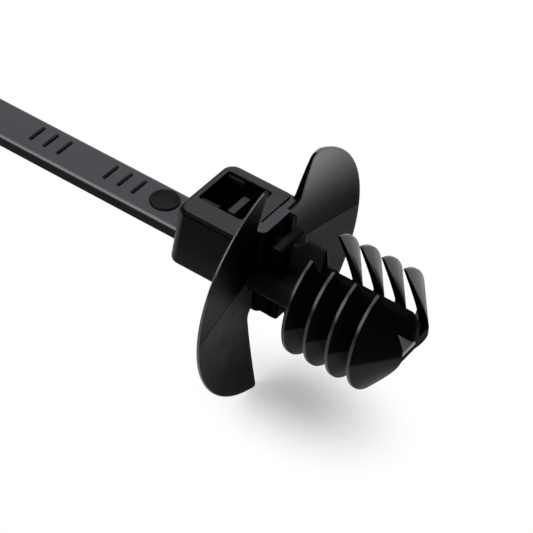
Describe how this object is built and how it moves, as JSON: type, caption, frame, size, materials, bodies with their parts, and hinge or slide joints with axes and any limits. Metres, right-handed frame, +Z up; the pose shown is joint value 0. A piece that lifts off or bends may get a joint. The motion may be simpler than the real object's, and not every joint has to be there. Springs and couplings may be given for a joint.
{
  "type": "fir tree cable tie",
  "caption": "One-piece moulded cable tie: toothed strap, square head with pawl slot, split spring dish and ribbed fir tree plug for a round panel hole.",
  "frame": {"origin": "centre of the bounding box seen from above, at the height of the dish's lowest corners", "axes": "+X along the tie from the tail of the strap to the tip of the fir tree, +Y across the strap, +Z up out of the top of the head, the side the strap comes out of when it is threaded"},
  "size_m": [0.184, 0.0254, 0.0243],
  "materials": {
    "black_plastic": "satin moulded nylon, lightly rough"
  },
  "bodies": {
    "root": {"cable_tie": "black_plastic"}
  },
  "joints": []
}
